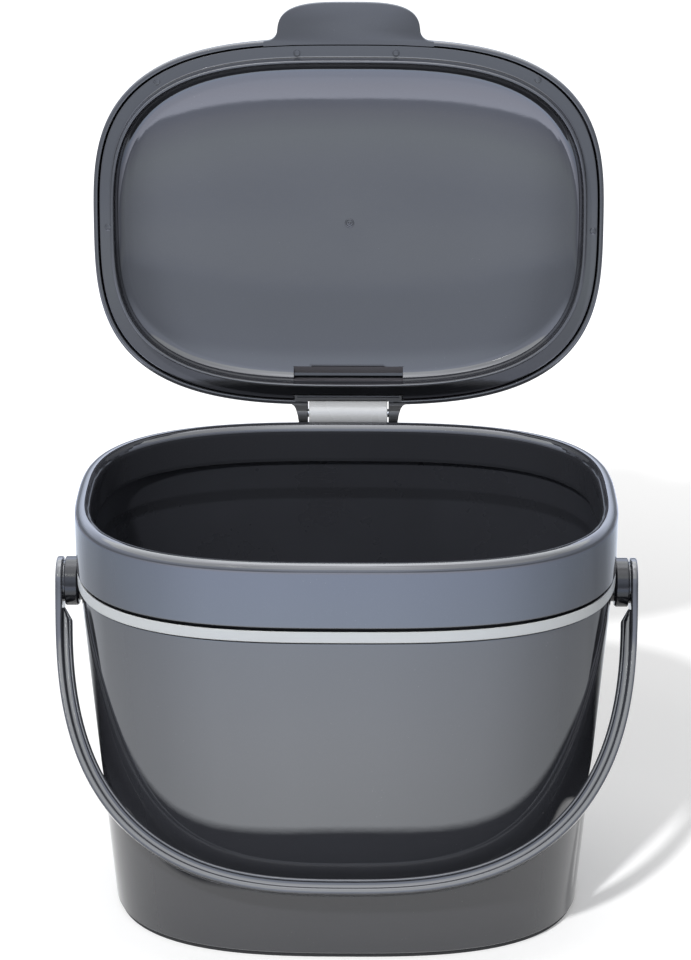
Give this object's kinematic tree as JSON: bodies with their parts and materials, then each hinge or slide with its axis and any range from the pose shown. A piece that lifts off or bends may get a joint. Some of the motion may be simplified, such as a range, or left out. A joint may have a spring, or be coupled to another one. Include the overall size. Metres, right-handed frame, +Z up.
{
  "type": "compost caddy",
  "caption": "Free-standing kitchen compost caddy: tapered bucket, lift-off collar, hinged lid with grip tab, and a swinging bail handle.",
  "frame": {"origin": "centre of the sole's underside, on the surface the caddy stands on", "axes": "+Z up, -Y to the front where the lid's tab and the hanging handle are, +Y to the hinge, +X to the right seen from the front"},
  "size_m": [0.2722, 0.2179, 0.4051],
  "materials": {
    "charcoal_plastic": "gloss charcoal moulded plastic",
    "light_plastic": "satin light grey moulded plastic",
    "sole_rubber": "matt black elastomer",
    "pin_steel": "drawn steel"
  },
  "bodies": {
    "bucket_body": {"bucket": "charcoal_plastic", "sole": "sole_rubber", "trim_band": "light_plastic", "hub_left": "charcoal_plastic", "hub_right": "charcoal_plastic"},
    "collar_body": {"collar": "charcoal_plastic", "hinge_barrel": "light_plastic"},
    "lid": {"lid_cover": "charcoal_plastic", "lid_panel": "charcoal_plastic", "hinge_pin": "pin_steel"},
    "handle_body": {"handle": "charcoal_plastic"}
  },
  "joints": [
    {"name": "collar_lift", "type": "slide", "parent": "bucket_body", "child": "collar_body", "axis": [0, 0, 1], "range_m": [0, 0.0168]},
    {"name": "lid_hinge", "type": "hinge", "parent": "collar_body", "child": "lid", "pos_m": [0, 0.0948, 0.2052], "axis": [1, 0, 0], "range_deg": [0, 96.7]},
    {"name": "handle_swing", "type": "hinge", "parent": "bucket_body", "child": "handle_body", "pos_m": [0, 0, 0.156], "axis": [-1, 0, 0], "range_deg": [0, 182.8]}
  ]
}
